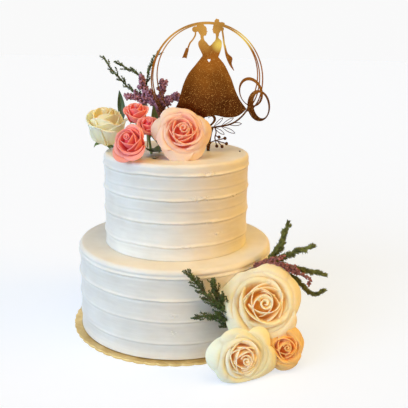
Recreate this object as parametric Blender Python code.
"""Two-tier buttercream wedding cake on a scalloped card, with a cut-out topper and two groups of fresh roses.

Run with: blender --background --python part.py
Metres, +Z up. The origin is the centre of the card's underside; the front of the cake looks along -Y.
"""

import math
import random

import bmesh
import bpy
from mathutils import Matrix, Vector
from mathutils.geometry import delaunay_2d_cdt

# Driving sizes of the cake and its card
GAP = 0.0003
FACES_KEPT = 0.80
BOARD_RADIUS = 0.1352
BOARD_THICKNESS = 0.003
SCALLOPS = 56
SCALLOP_DEPTH = 0.0016
LOWER_RADIUS = 0.125
LOWER_HEIGHT = 0.112
UPPER_RADIUS = 0.092
UPPER_HEIGHT = 0.116
UPPER_OFFSET = Vector((0.0013, -0.0029))
EDGE_ROUNDING = 0.004
RIDGE_RISE = 0.0009
RIDGE_HALF_HEIGHT = 0.0026
HOLLOW_BELOW_RIDGE = 0.0004
HOLLOW_ABOVE_RIDGE = 0.0002
RING_SEGMENTS = 34
# Depths of the scraped ridges below each tier's top
LOWER_RIDGES = (0.009, 0.0375, 0.064, 0.092)
UPPER_RIDGES = (0.013, 0.042, 0.070, 0.099)

LOWER_BOTTOM = BOARD_THICKNESS + GAP
LOWER_TOP = LOWER_BOTTOM + LOWER_HEIGHT
UPPER_BOTTOM = LOWER_TOP + GAP
UPPER_TOP = UPPER_BOTTOM + UPPER_HEIGHT

# Topper: its own drawing is in millimetres, across and up from the middle of the hoop
MM = 0.001
TOPPER_X = 0.0385
TOPPER_CENTRE_Z = 0.3229
TOPPER_THICKNESS = 0.0022
TOPPER_FOOT = (UPPER_TOP + GAP - TOPPER_CENTRE_Z) / MM
STRAND_STEPS = 30
ROUND_STEPS = 20
# Each strand of the hoop: the middle of its circle, its radius and its width
STRANDS = ((-0.2, -2.0, 69.2, 1.5), (0.1, 3.0, 62.4, 1.4), (-1.2, -0.2, 66.4, 1.4))
HOOP_START = (50.7, -38.5)
HOOP_END = (-38.0, -51.0)
# The share of a strand, at each end, along which it runs over into the twig
STRAND_RUN = 0.07

# Flowers and greenery
GOLDEN_ANGLE = math.radians(137.5)
PETAL_THICKNESS = 0.0011
PETAL_ROOT = 0.16
INNERMOST_SHARE = 0.32
HEART_STATIONS = 13
HEART_STEP = 2 * math.pi / 7
ROSE_STEM_RADIUS = 0.0018
SPRIG_STEM_RADIUS = 0.0013
FOOT_LENGTH = 0.003
LEAF_THICKNESS = 0.0009


def clear_scene():
    """Removes whatever the scene holds."""
    for found in list(bpy.data.objects):
        bpy.data.objects.remove(found, do_unlink=True)


def make_material(name, colour, roughness, metallic=0.0):
    """A Principled material of one colour."""
    made = bpy.data.materials.new(name)
    made.use_nodes = True
    shader = made.node_tree.nodes["Principled BSDF"]
    shader.inputs["Base Color"].default_value = (*colour, 1.0)
    shader.inputs["Roughness"].default_value = roughness
    shader.inputs["Metallic"].default_value = metallic
    made.diffuse_color = (*colour, 1.0)
    return made


def add_object(name, points, faces, finish):
    """One object from points and faces, its faces turned outwards."""
    mesh = bpy.data.meshes.new(name)
    mesh.from_pydata([tuple(p) for p in points], [], faces)
    shape = bmesh.new()
    shape.from_mesh(mesh)
    bmesh.ops.recalc_face_normals(shape, faces=shape.faces)
    shape.to_mesh(mesh)
    shape.free()
    mesh.materials.append(finish)
    made = bpy.data.objects.new(name, mesh)
    bpy.context.scene.collection.objects.link(made)
    return made


def keep_outer_shell(mesh):
    """Drops loose scraps and the walls of sealed hollows, which leaves the largest shell."""
    shape = bmesh.new()
    shape.from_mesh(mesh)
    left = set(shape.faces)
    shells = []
    while left:
        front = [left.pop()]
        shell = list(front)
        while front:
            face = front.pop()
            for edge in face.edges:
                for other in edge.link_faces:
                    if other in left:
                        left.remove(other)
                        front.append(other)
                        shell.append(other)
        shells.append(shell)
    largest = max(shells, key=lambda shell: sum(face.calc_area() for face in shell))
    dropped = [face for shell in shells if shell is not largest for face in shell]
    bmesh.ops.delete(shape, geom=dropped, context="FACES")
    shape.to_mesh(mesh)
    shape.free()


def merge_flat_faces(mesh):
    """Joins the fragments that a union leaves on a flat face."""
    shape = bmesh.new()
    shape.from_mesh(mesh)
    bmesh.ops.dissolve_limit(shape, angle_limit=math.radians(1.0), verts=shape.verts, edges=shape.edges)
    bmesh.ops.triangulate(shape, faces=shape.faces)
    shape.to_mesh(mesh)
    shape.free()


def fuse(name, pieces, finish):
    """Joins closed pieces into one solid with one Boolean union on a collection."""
    base, others = pieces[0], pieces[1:]
    group = bpy.data.collections.new(name + "_pieces")
    bpy.context.scene.collection.children.link(group)
    for piece in others:
        bpy.context.scene.collection.objects.unlink(piece)
        group.objects.link(piece)
    union = base.modifiers.new("union", "BOOLEAN")
    union.operation = "UNION"
    union.operand_type = "COLLECTION"
    union.collection = group
    union.solver = "MANIFOLD"
    bpy.context.view_layer.update()
    graph = bpy.context.evaluated_depsgraph_get()
    joined = bpy.data.meshes.new_from_object(base.evaluated_get(graph))
    for piece in pieces:
        bpy.data.objects.remove(piece, do_unlink=True)
    bpy.data.collections.remove(group)
    keep_outer_shell(joined)
    merge_flat_faces(joined)
    joined.materials.clear()
    joined.materials.append(finish)
    joined.name = name
    made = bpy.data.objects.new(name, joined)
    bpy.context.scene.collection.objects.link(made)
    thin = made.modifiers.new("thin out the seams", "DECIMATE")
    thin.ratio = FACES_KEPT
    return made


def smooth_by_angle(made, degrees=40):
    """Shades a round piece smooth, and keeps its sharp edges."""
    made.data.shade_smooth()
    made.data.set_sharp_from_angle(angle=math.radians(degrees))


# Card and tiers


def make_board(finish):
    """A thin disc whose edge is a run of small half-round scallops."""
    steps = 2 * SCALLOPS
    rim = []
    for i in range(steps):
        angle = 2 * math.pi * i / steps
        lobe = abs(math.sin(SCALLOPS * angle / 2))
        radius = BOARD_RADIUS - SCALLOP_DEPTH * (1 - lobe)
        rim.append((radius * math.cos(angle), radius * math.sin(angle)))
    points = [(x, y, 0.0) for x, y in rim] + [(x, y, BOARD_THICKNESS) for x, y in rim]
    faces = [tuple(range(steps - 1, -1, -1)), tuple(range(steps, 2 * steps))]
    for i in range(steps):
        after = (i + 1) % steps
        faces.append((i, after, steps + after, steps + i))
    return add_object("cake_board", points, faces, finish)


def tier_profile(radius, bottom, top, ridges):
    """The outline of a tier's wall, bottom to top: straight, with a low swelling at each scraped ridge."""
    outline = [(radius, bottom)]
    for depth in sorted(ridges, reverse=True):
        height = top - depth
        outline.append((radius - HOLLOW_BELOW_RIDGE, height - RIDGE_HALF_HEIGHT))
        outline.append((radius + RIDGE_RISE, height))
        outline.append((radius - HOLLOW_ABOVE_RIDGE, height + RIDGE_HALF_HEIGHT))
    outline.append((radius, top - EDGE_ROUNDING))
    outline.append((radius - 0.25 * EDGE_ROUNDING, top - 0.25 * EDGE_ROUNDING))
    outline.append((radius - EDGE_ROUNDING, top))
    return outline


def make_tier(name, radius, bottom, top, ridges, centre, finish):
    """Turns the wall's outline round the tier's axis and closes it with a flat top and bottom."""
    outline = tier_profile(radius, bottom, top, ridges)
    points = []
    for r, z in outline:
        for i in range(RING_SEGMENTS):
            angle = 2 * math.pi * i / RING_SEGMENTS
            points.append((r * math.cos(angle), r * math.sin(angle), z))
    faces = [tuple(range(RING_SEGMENTS - 1, -1, -1))]
    for row in range(len(outline) - 1):
        low = row * RING_SEGMENTS
        high = low + RING_SEGMENTS
        for i in range(RING_SEGMENTS):
            after = (i + 1) % RING_SEGMENTS
            faces.append((low + i, low + after, high + after, high + i))
    last = (len(outline) - 1) * RING_SEGMENTS
    faces.append(tuple(range(last, last + RING_SEGMENTS)))
    made = add_object(name, points, faces, finish)
    made.location = (centre[0], centre[1], 0.0)
    smooth_by_angle(made)
    return made


# Topper: one sheet, cut to the outline of every shape drawn here


def smooth_line(points, steps=2):
    """A smooth curve through the points, in equal steps between each two."""
    last = len(points) - 1
    line = []
    for i in range(last):
        near = [points[min(max(i + k, 0), last)] for k in (-1, 0, 1, 2)]
        for step in range(steps):
            t = step / steps
            weights = (
                -0.5 * t + t * t - 0.5 * t**3,
                1 - 2.5 * t * t + 1.5 * t**3,
                0.5 * t + 2 * t * t - 1.5 * t**3,
                -0.5 * t * t + 0.5 * t**3,
            )
            line.append(tuple(sum(w * p[k] for w, p in zip(weights, near)) for k in (0, 1)))
    line.append(tuple(points[-1]))
    return line


def strip(line, width):
    """The outline of a strip of even width along an open line."""
    left, right = [], []
    for i, (x, z) in enumerate(line):
        before = Vector(line[max(i - 1, 0)])
        after = Vector(line[min(i + 1, len(line) - 1)])
        along = (after - before).normalized()
        left.append((x - along.y * width / 2, z + along.x * width / 2))
        right.append((x + along.y * width / 2, z - along.x * width / 2))
    return left + right[::-1]


def ellipse(x, z, radius_x, radius_z, count=ROUND_STEPS, turn=0.0):
    """Points round an ellipse that is turned by an angle."""
    line = []
    for i in range(count):
        angle = 2 * math.pi * i / count
        a, b = radius_x * math.cos(angle), radius_z * math.sin(angle)
        across = a * math.cos(turn) - b * math.sin(turn)
        up = a * math.sin(turn) + b * math.cos(turn)
        line.append((x + across, z + up))
    return line


def heart(x, z, half_width, height, count):
    """Points round a heart that stands on its tip."""
    line = []
    for i in range(count):
        t = 2 * math.pi * i / count
        up = (13 * math.cos(t) - 5 * math.cos(2 * t) - 2 * math.cos(3 * t) - math.cos(4 * t)) / 16
        line.append((x + half_width * math.sin(t) ** 3, z + height / 2 * up))
    return line


def leaf_loop(root, tip, half_width, count=4):
    """Points round a slim leaf with a rounded tip, from its root to its tip."""
    root, tip = Vector(root), Vector(tip)
    across = (tip - root).orthogonal().normalized() * half_width
    side = [(i / count, math.sin(math.pi * (i / count) ** 1.4) ** 0.7) for i in range(1, count)]
    line = [root] + [root.lerp(tip, t) + across * w for t, w in side] + [tip]
    line += [root.lerp(tip, t) - across * w for t, w in reversed(side)]
    return [tuple(p) for p in line]


def hoop_strand(x, z, radius, width):
    """A thin strand round most of a circle, which runs into the twig at both ends."""
    first = math.atan2(HOOP_START[1], HOOP_START[0])
    last = math.atan2(HOOP_END[1], HOOP_END[0]) + 2 * math.pi
    line = []
    for i in range(STRAND_STEPS + 1):
        t = i / STRAND_STEPS
        angle = first + (last - first) * t
        point = Vector((x + radius * math.cos(angle), z + radius * math.sin(angle)))
        pull = max(0.0, 1 - t / STRAND_RUN) ** 2
        point = point.lerp(Vector(HOOP_START), pull)
        pull = max(0.0, 1 - (1 - t) / STRAND_RUN) ** 2
        line.append(tuple(point.lerp(Vector(HOOP_END), pull)))
    return strip(line, width)


def head_outline(x, z, size, look):
    """A head in profile, plainly proportioned; look is 1 for a face to the right, -1 to the left."""
    brow = ((0.02, 0.52), (0.30, 0.42), (0.40, 0.18), (0.39, 0.06))
    nose_and_mouth = ((0.49, -0.07), (0.40, -0.11), (0.42, -0.23), (0.36, -0.31))
    chin_and_neck = ((0.34, -0.42), (0.14, -0.46), (0.08, -0.70), (-0.18, -0.70))
    back = ((-0.22, -0.40), (-0.42, -0.08), (-0.40, 0.26), (-0.22, 0.46))
    outline = brow + nose_and_mouth + chin_and_neck + back
    return [(x + look * a * size, z + b * size) for a, b in outline]


def blossom(x, z, radius):
    """A small flower of five round petals."""
    line = []
    for i in range(10):
        angle = 2 * math.pi * i / 10
        reach = radius * (1.0 if i % 2 else 0.75)
        line.append((x + reach * math.cos(angle), z + reach * math.sin(angle)))
    return line


def figure_shapes():
    """Two figures face to face in one wide skirt, with flowers in the hair and a ribbon behind each."""
    skirt_left = ((-7.0, 26.5), (-15.2, 16), (-23.5, 5.5), (-29.4, -7), (-33.2, -20), (-36, -30), (-41, -40))
    skirt_hem = (
        (-41, -40), (-24, -50), (-4, -48.5), (10, -45.5), (24, -47.8), (36, -47), (44, -42.8), (50.2, -36.8),
    )
    skirt_right = ((50.2, -36.8), (41.8, -26), (35.5, -14), (31, -2), (27, 6.5), (20.6, 18), (13.0, 26.5))
    skirt = smooth_line(skirt_left)[:-1] + smooth_line(skirt_hem)[:-1] + smooth_line(skirt_right)
    left_side = ((-7.0, 26), (-6.4, 28.5), (-8.6, 33), (-11.4, 39), (-11.6, 43.5), (-9.2, 46.6), (-8.2, 50))
    between = ((-5.2, 50), (-4.2, 46.2), (-1.2, 43), (2.5, 39.6), (6.4, 43.4), (9.2, 46.8), (9.8, 53))
    right_side = ((12.6, 53), (13.2, 48.6), (16.6, 45.6), (17.2, 40), (16.0, 34), (14.4, 29), (13.0, 26))
    bodies = smooth_line(left_side) + smooth_line(between) + smooth_line(right_side)
    ribbon_left = smooth_line(((-15.5, 57), (-15.4, 52), (-18.4, 46.5), (-22, 42), (-25.0, 34.0)))
    ribbon_right = smooth_line(((17.0, 60), (18.6, 51), (20, 42), (21.4, 36)))
    tassel = ((-26.6, 36.6), (-23.0, 35.6), (-25.8, 23.8), (-28.4, 24.8), (-31.4, 24.2))
    veil_end = (
        (19.4, 42), (21.6, 41), (24.6, 31.4), (30.6, 25.4),
        (30.0, 18.4), (33.4, 9.8), (27.6, 16.2), (22.2, 27.6),
    )
    return [
        skirt,
        bodies,
        head_outline(-6.6, 56.8, 12.6, 1),
        head_outline(10.9, 59.6, 12.6, -1),
        ellipse(-9.0, 60.0, 5.6, 5.4, 12),
        ellipse(12.6, 62.6, 5.2, 5.4, 12),
        ellipse(-15.6, 58.6, 3.9, 3.5, 10),
        blossom(10.6, 68.6, 3.1),
        blossom(17.2, 64.6, 3.3),
        blossom(17.0, 59.6, 2.5),
        strip(ribbon_left, 1.9),
        strip(ribbon_right, 2.2),
        tassel,
        veil_end,
    ]


def twig_shapes():
    """The leafy twig along the bottom of the hoop, and a sprig of berries below it."""
    twig = (HOOP_START, (42.4, -48.4), (30, -56.4), (10, -60.4), (-6, -61), (-22, -58.6), HOOP_END)
    shapes = [strip(smooth_line(twig), 2.0)]
    leaves = (
        ((9.0, -60.2), (21.0, -48.2), 1.9),
        ((18.0, -59.0), (34.5, -48.0), 2.0),
        ((9.5, -60.4), (23.4, -69.6), 2.3),
        ((18.0, -59.2), (37.0, -67.8), 2.4),
        ((27.0, -57.0), (45.0, -55.4), 2.3),
    )
    for root, tip, half_width in leaves:
        start, end = Vector(root), Vector(tip)
        along = (end - start).normalized() * 1.1
        opening = leaf_loop(start + along * 1.6, end - along, half_width - 0.75)
        shapes.append((leaf_loop(root, tip, half_width), opening))
    shapes.append(strip(smooth_line(((10.6, -60.5), (12.6, -66.5), (11.2, -73), (12.0, -78))), 1.5))
    fork = (12.0, -77.5)
    stalks = (
        ((11.4, -71), (16.4, -73.0)),
        (fork, (24.0, -74.4)),
        (fork, (26.2, -81.2)),
        ((15.0, -78.2), (20.6, -85.0)),
        (fork, (13.8, -84.6)),
        (fork, (4.6, -80.4)),
    )
    for root, berry in stalks:
        shapes.append(strip([root, berry], 1.2))
        shapes.append(ellipse(*berry, 2.1, 2.1, 6))
    return shapes


def make_topper(finish):
    """Joins all the outlines into one flat sheet, and gives it its thickness."""
    shapes = [hoop_strand(*strand) for strand in STRANDS]
    shapes += figure_shapes()
    shapes += twig_shapes()
    upper_ring = ellipse(54.9, -15.6, 14.4, 18.8, turn=0.42)
    lower_ring = ellipse(65.4, -32.4, 14.2, 19.6, turn=0.16)
    shapes.append((upper_ring, ellipse(54.4, -16.8, 12.2, 16.0, turn=0.42)))
    shapes.append((lower_ring, ellipse(68.0, -32.2, 9.2, 16.2, turn=0.22)))
    shapes.append((heart(3.0, -52.6, 9.2, 20.5, 18), heart(3.0, -52.4, 5.8, 14.5, 18)))
    stake = [(-1.2, -61), (9.6, -61), (7.8, -67), (6.4, -75)]
    stake += [(4.8, TOPPER_FOOT), (1.0, TOPPER_FOOT), (0.4, -75)]
    shapes.append(stake)
    openings = [heart(1.9, 22.0, 1.9, 4.6, 12)]
    return cut_sheet("topper", shapes, openings, finish)


def inside(point, line):
    """True for a point within a closed outline."""
    x, z = point
    found = False
    for (ax, az), (bx, bz) in zip(line, line[1:] + line[:1]):
        if (az > z) != (bz > z) and x < ax + (z - az) / (bz - az) * (bx - ax):
            found = not found
    return found


def in_shape(point, shape):
    """True for a point in a plain outline, or between the two outlines of an open shape."""
    if len(shape) == 2:
        return inside(point, shape[0]) and not inside(point, shape[1])
    return inside(point, shape)


def cut_sheet(name, shapes, openings, finish):
    """Cuts one sheet to the joined outline of all shapes, less the openings."""
    shapes = [list(s) if len(s) != 2 else (list(s[0]), list(s[1])) for s in shapes]
    loops = [loop for shape in shapes for loop in (shape if len(shape) == 2 else [shape])] + openings
    points, edges = [], []
    for loop in loops:
        first = len(points)
        points += [Vector(p) for p in loop]
        edges += [(first + i, first + (i + 1) % len(loop)) for i in range(len(loop))]
    points, edges, faces = delaunay_2d_cdt(points, edges, [], 0, 0.02)[:3]
    flat = bmesh.new()
    corners = [flat.verts.new((p.x, 0.0, p.y)) for p in points]
    for face in faces:
        middle = sum((points[i] for i in face), Vector((0, 0))) / len(face)
        cut = any(inside(middle, loop) for loop in openings)
        if not cut and any(in_shape(middle, shape) for shape in shapes):
            flat.faces.new([corners[i] for i in face])
    bmesh.ops.delete(flat, geom=[v for v in flat.verts if not v.link_faces], context="VERTS")
    bmesh.ops.dissolve_limit(flat, angle_limit=0.002, verts=flat.verts, edges=flat.edges)
    bmesh.ops.triangulate(flat, faces=flat.faces)
    flat.verts.index_update()
    count = len(flat.verts)
    half = TOPPER_THICKNESS / 2
    sheet = [Vector((TOPPER_X + v.co.x * MM, 0.0, TOPPER_CENTRE_Z + v.co.z * MM)) for v in flat.verts]
    solid = [p + Vector((0, side * half, 0)) for side in (-1, 1) for p in sheet]
    walls = [tuple(v.index for v in face.verts) for face in flat.faces]
    walls += [tuple(count + i for i in reversed(face)) for face in walls]
    for edge in flat.edges:
        if edge.is_boundary:
            a, b = (v.index for v in edge.verts)
            walls.append((a, b, count + b, count + a))
    flat.free()
    return add_object(name, solid, walls, finish)


# Roses: a spiral heart in an egg-shaped bud, with single petals set round it


class Rose:
    """Where a rose is, how large it is, which way it faces and how far it has opened, from 0 to 1."""

    def __init__(self, name, centre, radius, facing, openness, petals, foot, rests_on, extra=()):
        self.name = name
        self.centre = Vector(centre)
        self.radius = radius
        self.facing = Vector(facing).normalized()
        self.openness = openness
        self.petals = petals
        self.foot = Vector(foot)
        self.rests_on = Vector(rests_on).normalized()
        self.extra = extra

    def to_cake(self, point):
        """From the rose's own axes, where it opens along +Z, to the cake's."""
        return self.centre + self.facing.to_track_quat("Z", "Y") @ Vector(point)


def blend(a, b, t):
    return a + (b - a) * t


# A petal's side view, as the four pulls of a Bezier curve in (out, up) radii: inner and outer petals,
# for a closed cup and for a rose in full bloom
CUP_INNER = ((0.10, -0.80), (0.70, -0.70), (0.46, 0.20), (0.40, 0.92))
CUP_OUTER = ((0.10, -0.92), (1.15, -0.92), (0.66, 0.20), (1.10, 0.62))
OPEN_INNER = ((0.10, -0.52), (0.62, -0.40), (0.34, 0.10), (0.42, 0.46))
OPEN_OUTER = ((0.10, -0.55), (0.95, -0.55), (0.78, 0.52), (1.10, -0.02))


def petal_point(rose, share, stretch, across, along, lift):
    """A point of one petal. share runs from the innermost petals, 0, to the outermost, 1."""
    t = along * (1 - 0.20 * abs(across) ** 2.2)
    weights = ((1 - t) ** 3, 3 * t * (1 - t) ** 2, 3 * t * t * (1 - t), t**3)
    r, z = 0.0, 0.0
    for i, weight in enumerate(weights):
        inner = [blend(a, b, rose.openness) for a, b in zip(CUP_INNER[i], OPEN_INNER[i])]
        outer = [blend(a, b, rose.openness) for a, b in zip(CUP_OUTER[i], OPEN_OUTER[i])]
        r += weight * blend(inner[0], outer[0], share) * rose.radius
        z += weight * blend(inner[1], outer[1], share) * rose.radius
    r *= blend(1.0, stretch, t)
    narrowing = 0.40 + 0.60 * math.sin(math.pi / 2 * min(1.0, along * 1.6))
    half_width = rose.radius * blend(0.50, 0.74, share) * narrowing
    bend = max(blend(r, 0.8 * rose.radius, share), 0.15 * rose.radius)
    swing = max(-2.2, min(2.2, across * half_width / bend))
    outward = r - bend * (1 - math.cos(swing)) + lift
    return Vector((outward, bend * math.sin(swing), z - 0.35 * lift))


def plate(name, sheets, rows, columns, finish):
    """A closed curved plate between two grids of points, (rows + 1) by (columns + 1) each."""
    wide = columns + 1
    count = len(sheets[0])
    faces = []
    for row in range(rows):
        for column in range(columns):
            a = row * wide + column
            faces.append((a, a + 1, a + wide + 1, a + wide))
            faces.append((count + a, count + a + wide, count + a + wide + 1, count + a + 1))
    border = list(range(wide))
    border += [row * wide + columns for row in range(1, rows + 1)]
    border += [rows * wide + column for column in range(columns - 1, -1, -1)]
    border += [row * wide for row in range(rows - 1, 0, -1)]
    for a, b in zip(border, border[1:] + border[:1]):
        faces.append((b, a, count + a, count + b))
    return add_object(name, sheets[0] + sheets[1], faces, finish)


def petal(rose, share, azimuth, stretch, finish):
    """One petal of even thickness, turned to its place round the axis."""
    columns = 4 if share > 0.45 and rose.radius > 0.02 else 3
    rows = 3 if rose.radius > 0.028 else 2
    spin = Matrix.Rotation(azimuth, 3, "Z")
    sheets = []
    for lift in (0.0, PETAL_THICKNESS):
        sheet = []
        for row in range(rows + 1):
            along = blend(PETAL_ROOT, 1.0, row / rows)
            for column in range(columns + 1):
                across = 2 * column / columns - 1
                sheet.append(rose.to_cake(spin @ petal_point(rose, share, stretch, across, along, lift)))
        sheets.append(sheet)
    return plate("petal", sheets, rows, columns, finish)


def spiral_heart(rose, finish):
    """The wound heart: one ribbon that spirals out from the axis, with a gently scalloped rim."""
    radius = rose.radius
    height = blend(0.90, 0.44, rose.openness)
    thick = min(PETAL_THICKNESS, 0.05 * radius)
    sheets = []
    for lift in (0.0, thick):
        sheet = []
        for top in (0.0, 1.0):
            for i in range(HEART_STATIONS):
                t = i / (HEART_STATIONS - 1)
                angle = HEART_STEP * i
                r = radius * (0.05 + 0.27 * t + 0.05 * t * top) + lift
                rim = height - 0.08 * t + 0.03 * math.cos(1.5 * angle)
                up = radius * blend(-0.30, rim, top)
                sheet.append(rose.to_cake((r * math.cos(angle), r * math.sin(angle), up)))
        sheets.append(sheet)
    return plate("heart", sheets, 1, HEART_STATIONS - 1, finish)


def bud(rose, finish):
    """The egg-shaped body of a rose, which the petals and the heart grow from."""
    shape = bmesh.new()
    bmesh.ops.create_uvsphere(shape, u_segments=7, v_segments=4, radius=1.0)
    middle = blend(-0.50, -0.30, rose.openness)
    half_height = blend(0.64, 0.44, rose.openness)
    width = blend(0.60, 0.44, rose.openness)
    for v in shape.verts:
        egg = Vector((v.co.x * width, v.co.y * width, v.co.z * half_height + middle))
        v.co = rose.to_cake(egg * rose.radius)
    mesh = bpy.data.meshes.new("bud")
    shape.to_mesh(mesh)
    shape.free()
    made = bpy.data.objects.new("bud", mesh)
    bpy.context.scene.collection.objects.link(made)
    return made


def tube(centres, radii, sides, finish, foot_normal=None):
    """A closed tube through the centres. Its first ring can lie flat on a surface with a given normal."""
    points = []
    for i, (centre, radius) in enumerate(zip(centres, radii)):
        along = (centres[min(i + 1, len(centres) - 1)] - centres[max(i - 1, 0)]).normalized()
        if i == 0 and foot_normal is not None:
            along = foot_normal
        guide = Vector((0, 1, 0)) if abs(along.y) < 0.9 else Vector((1, 0, 0))
        side = along.cross(guide).normalized()
        third = along.cross(side)
        for k in range(sides):
            angle = 2 * math.pi * k / sides
            points.append(centre + side * radius * math.cos(angle) + third * radius * math.sin(angle))
    faces = [tuple(range(sides)), tuple(range(len(points) - 1, len(points) - sides - 1, -1))]
    for i in range(len(centres) - 1):
        low, high = i * sides, (i + 1) * sides
        for k in range(sides):
            after = (k + 1) % sides
            faces.append((low + k, low + after, high + after, high + k))
    return add_object("tube", points, faces, finish)


def make_rose(rose, finish):
    """Fuses the bud, its heart, all petals and the short stem that reaches what carries the rose."""
    pieces = [bud(rose, finish), spiral_heart(rose, finish)]
    for index in range(rose.petals):
        share = blend(INNERMOST_SHARE, 1.0, index / (rose.petals - 1))
        pieces.append(petal(rose, share, GOLDEN_ANGLE * index, 1.0, finish))
    for azimuth, stretch in rose.extra:
        pieces.append(petal(rose, 1.0, azimuth, stretch, finish))
    base = rose.to_cake((0, 0, blend(-0.80, -0.50, rose.openness) * rose.radius))
    ankle = rose.foot + rose.rests_on * FOOT_LENGTH
    radii = [ROSE_STEM_RADIUS, ROSE_STEM_RADIUS, 0.15 * rose.radius]
    pieces.append(tube([rose.foot, ankle, base], radii, 6, finish, rose.rests_on))
    return fuse(rose.name, pieces, finish)


def wall_foot(angle, z):
    """A point just off the lower tier's wall, from its angle in degrees and its height, and the way out."""
    outward = Vector((math.cos(math.radians(angle)), math.sin(math.radians(angle)), 0.0))
    return outward * (LOWER_RADIUS + GAP) + Vector((0, 0, z)), outward


def icing_foot(x, y):
    """A point just above the upper tier's top."""
    return Vector((x, y, UPPER_TOP + GAP)), Vector((0, 0, 1))


ROSES = (
    (
        Rose(
            "rose_cream_large", (0.1080, -0.119, 0.0740), 0.0435, (0.06, -0.90, 0.46), 1.0, 9,
            *wall_foot(-38, 0.066),
        ),
        "cream_petal",
    ),
    (
        Rose(
            "rose_cream_low", (0.0830, -0.163, 0.0300), 0.0310, (0.30, -0.93, 0.14), 1.0, 7,
            *wall_foot(-57, 0.028), extra=((2.9, 1.20),),
        ),
        "cream_petal",
    ),
    (
        Rose(
            "rose_apricot", (0.1330, -0.1375, 0.0290), 0.0240, (0.16, -0.88, 0.40), 0.95, 6,
            *wall_foot(-44, 0.030),
        ),
        "apricot_petal",
    ),
    (
        Rose(
            "rose_peach", (0.0105, -0.053, 0.2625), 0.0320, (0.10, -0.86, 0.50), 0.95, 8,
            *icing_foot(0.006, -0.028),
        ),
        "peach_petal",
    ),
    (
        Rose(
            "rose_cream_top", (-0.0880, -0.004, 0.2625), 0.0275, (0.00, -0.30, 0.95), 0.20, 7,
            *icing_foot(-0.074, 0.002),
        ),
        "cream_petal",
    ),
    (
        Rose(
            "rose_pink_front", (-0.0490, -0.071, 0.2540), 0.0190, (-0.28, -0.82, 0.50), 0.35, 5,
            *icing_foot(-0.040, -0.050), extra=((4.35, 1.45), (5.2, 1.30)),
        ),
        "pink_petal",
    ),
    (
        Rose(
            "rose_pink_upper", (-0.0480, -0.018, 0.2810), 0.0145, (0.03, -0.50, 0.86), 0.25, 5,
            *icing_foot(-0.044, -0.012),
        ),
        "pink_petal",
    ),
    (
        Rose(
            "rose_pink_middle", (-0.0315, -0.037, 0.2680), 0.0135, (0.12, -0.66, 0.74), 0.35, 5,
            *icing_foot(-0.029, -0.026),
        ),
        "pink_petal",
    ),
)

# Greenery: stems that swell and narrow with their leaflets or florets, from one foot


class Sprig:
    """Branches from one foot. low and high are how far their growth reaches, in turn at each step."""

    def __init__(self, name, foot, rests_on, stem, branches, step, low, high, seed):
        self.name = name
        self.foot = foot
        self.rests_on = rests_on
        self.stem = [Vector(p) for p in stem]
        self.branches = branches
        self.step = step
        self.low = low
        self.high = high
        self.random = random.Random(seed)


def resample(points, step):
    """Points at even steps along a line of points."""
    made = [points[0]]
    for start, end in zip(points, points[1:]):
        count = max(1, round((end - start).length / step))
        made += [start.lerp(end, (i + 1) / count) for i in range(count)]
    return made


def make_sprig(sprig, finish):
    """Fuses the bare stem with its leafy branches."""
    stem = [sprig.foot, sprig.foot + sprig.rests_on * FOOT_LENGTH] + sprig.stem
    pieces = [tube(stem, [SPRIG_STEM_RADIUS] * len(stem), 4, finish, sprig.rests_on)]
    for branch in sprig.branches:
        line = resample([sprig.stem[-1]] + [Vector(p) for p in branch], sprig.step)
        radii = []
        for i in range(len(line)):
            reach = sprig.high * sprig.random.uniform(0.85, 1.15) if i % 2 else sprig.low
            radii.append(0.9 * SPRIG_STEM_RADIUS if i == 0 else reach)
        radii[-1] = sprig.low * 0.8
        pieces.append(tube(line, radii, 4, finish))
    return fuse(sprig.name, pieces, finish)


def leaf_blade(root, tip, half_width, flat, finish):
    """A thin wavy leaf with a fold along its middle; flat is the way its face looks."""
    root, tip = Vector(root), Vector(tip)
    along = tip - root
    out = Vector(flat).normalized()
    side = along.cross(out).normalized()
    rows = 4
    sheets = []
    for lift in (0.0, LEAF_THICKNESS):
        sheet = []
        for row in range(rows + 1):
            t = row / rows
            width = half_width * max(0.10, math.sin(math.pi * (0.12 + 0.86 * t) ** 0.9))
            wave = 0.06 * along.length * math.sin(2.4 * math.pi * t)
            for across in (-1, 0, 1):
                fold = -0.35 * width * abs(across)
                sheet.append(root + along * t + side * width * across + out * (wave + fold + lift))
        sheets.append(sheet)
    return plate("leaf", sheets, rows, 2, finish)


def make_leaves(name, foot, rests_on, stem, blades, finish):
    """A bare stem with its leaves."""
    line = [foot, foot + rests_on * FOOT_LENGTH] + [Vector(p) for p in stem]
    pieces = [tube(line, [SPRIG_STEM_RADIUS] * len(line), 5, finish, rests_on)]
    pieces += [leaf_blade(*blade, finish) for blade in blades]
    return fuse(name, pieces, finish)


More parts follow.
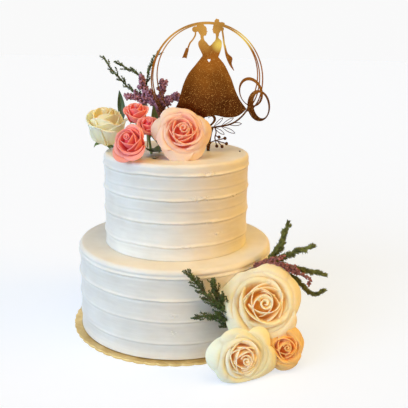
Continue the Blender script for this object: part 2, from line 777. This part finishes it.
SPRIGS = (
    (
        Sprig(
            "greenery_top", *icing_foot(-0.038, 0.0195),
            ((-0.040, 0.0195, 0.2700), (-0.0430, 0.0195, 0.2920)),
            (
                (
                    (-0.0622, 0.0195, 0.3086), (-0.0747, 0.0195, 0.3220),
                    (-0.0851, 0.0195, 0.3322), (-0.0928, 0.0195, 0.3465),
                ),
                ((-0.0429, 0.0195, 0.3180), (-0.0576, 0.0195, 0.3296), (-0.0790, 0.0195, 0.3400)),
                ((-0.0365, 0.0195, 0.3248), (-0.0332, 0.0195, 0.3352), (-0.0226, 0.0195, 0.3529)),
            ),
            0.0038, 0.0011, 0.0027, 3,
        ),
        "leaf",
    ),
    (
        Sprig(
            "heather_top", *icing_foot(-0.021, 0.0088),
            ((-0.0225, 0.0088, 0.2700), (-0.0230, 0.0088, 0.2850)),
            (
                ((-0.0335, 0.0088, 0.3006), (-0.0439, 0.0088, 0.3139), (-0.0449, 0.0088, 0.3242)),
                ((-0.0420, 0.0088, 0.2945), (-0.0525, 0.0088, 0.2990), (-0.0620, 0.0088, 0.2980)),
                ((-0.0209, 0.0088, 0.2987), (-0.0187, 0.0088, 0.3113), (-0.0135, 0.0088, 0.3144)),
                ((-0.0103, 0.0088, 0.2947), (-0.0018, 0.0088, 0.2991), (0.0028, 0.0088, 0.2971)),
            ),
            0.0042, 0.0026, 0.0050, 5,
        ),
        "heather",
    ),
    (
        Sprig(
            "greenery_front", *wall_foot(-52, 0.040), ((0.0830, -0.1070, 0.0400),),
            (
                ((0.0600, -0.1235, 0.0690), (0.0380, -0.1300, 0.0930), (0.0180, -0.1345, 0.1200)),
                ((0.0700, -0.1180, 0.0620), (0.0600, -0.1240, 0.0790), (0.0480, -0.1290, 0.1080)),
                ((0.0650, -0.1200, 0.0520), (0.0520, -0.1265, 0.0600), (0.0300, -0.1330, 0.0650)),
            ),
            0.0055, 0.0018, 0.0044, 7,
        ),
        "leaf",
    ),
    (
        Sprig(
            "greenery_side", *wall_foot(-33, 0.0990), ((0.1140, -0.0740, 0.1060),),
            (
                ((0.1310, -0.0730, 0.1330), (0.1390, -0.0710, 0.1590)),
                ((0.1480, -0.0730, 0.1220), (0.1710, -0.0710, 0.1300)),
                ((0.1550, -0.0740, 0.1010), (0.1890, -0.0710, 0.0930)),
                ((0.1500, -0.0720, 0.0880), (0.1730, -0.0710, 0.0680), (0.1900, -0.0700, 0.0720)),
            ),
            0.0060, 0.0032, 0.0050, 9,
        ),
        "olive",
    ),
    (
        Sprig(
            "heather_side", *wall_foot(-41, 0.0995), ((0.1080, -0.0880, 0.1130),),
            (
                ((0.1200, -0.0920, 0.1200), (0.1330, -0.0930, 0.1240)),
                ((0.1400, -0.0930, 0.1120), (0.1530, -0.0920, 0.1040)),
                ((0.1450, -0.0900, 0.1040), (0.1640, -0.0900, 0.0960), (0.1660, -0.0900, 0.0860)),
            ),
            0.0050, 0.0026, 0.0048, 11,
        ),
        "heather",
    ),
)


def build():
    """Makes the whole cake."""
    clear_scene()
    finishes = {
        "gold_card": make_material("gold_card", (0.72, 0.52, 0.20), 0.35, 0.8),
        "buttercream": make_material("buttercream", (0.90, 0.87, 0.80), 0.55),
        "topper_gold": make_material("topper_gold", (0.50, 0.28, 0.09), 0.25, 1.0),
        "cream_petal": make_material("cream_petal", (0.93, 0.82, 0.58), 0.6),
        "apricot_petal": make_material("apricot_petal", (0.86, 0.52, 0.22), 0.6),
        "peach_petal": make_material("peach_petal", (0.90, 0.48, 0.32), 0.6),
        "pink_petal": make_material("pink_petal", (0.85, 0.30, 0.30), 0.6),
        "leaf": make_material("leaf", (0.12, 0.20, 0.06), 0.6),
        "olive": make_material("olive", (0.20, 0.20, 0.06), 0.7),
        "heather": make_material("heather", (0.45, 0.22, 0.30), 0.7),
    }
    cream = finishes["buttercream"]
    make_board(finishes["gold_card"])
    make_tier("lower_tier", LOWER_RADIUS, LOWER_BOTTOM, LOWER_TOP, LOWER_RIDGES, (0.0, 0.0), cream)
    make_tier("upper_tier", UPPER_RADIUS, UPPER_BOTTOM, UPPER_TOP, UPPER_RIDGES, UPPER_OFFSET, cream)
    make_topper(finishes["topper_gold"])
    for rose, finish in ROSES:
        make_rose(rose, finishes[finish])
    for sprig, finish in SPRIGS:
        make_sprig(sprig, finishes[finish])
    foot, up = icing_foot(-0.0700, 0.0320)
    blades = (((-0.0720, 0.0320, 0.2650), (-0.0757, 0.0320, 0.3040), 0.0050, (0, -1, 0)),)
    make_leaves("leaf_pointed", foot, up, ((-0.0715, 0.0320, 0.2680),), blades, finishes["leaf"])
    foot, up = icing_foot(-0.0200, -0.0150)
    blades = (
        ((-0.0215, -0.0150, 0.2420), (-0.0280, -0.0070, 0.2900), 0.0060, (0.2, -1, 0)),
        ((-0.0205, -0.0150, 0.2400), (-0.0200, -0.0480, 0.2385), 0.0060, (0, -0.2, 1)),
        ((-0.0205, -0.0150, 0.2420), (-0.0060, -0.0080, 0.2800), 0.0060, (0, -1, 0.1)),
    )
    make_leaves("leaves_rose", foot, up, ((-0.0210, -0.0150, 0.2450),), blades, finishes["leaf"])


build()
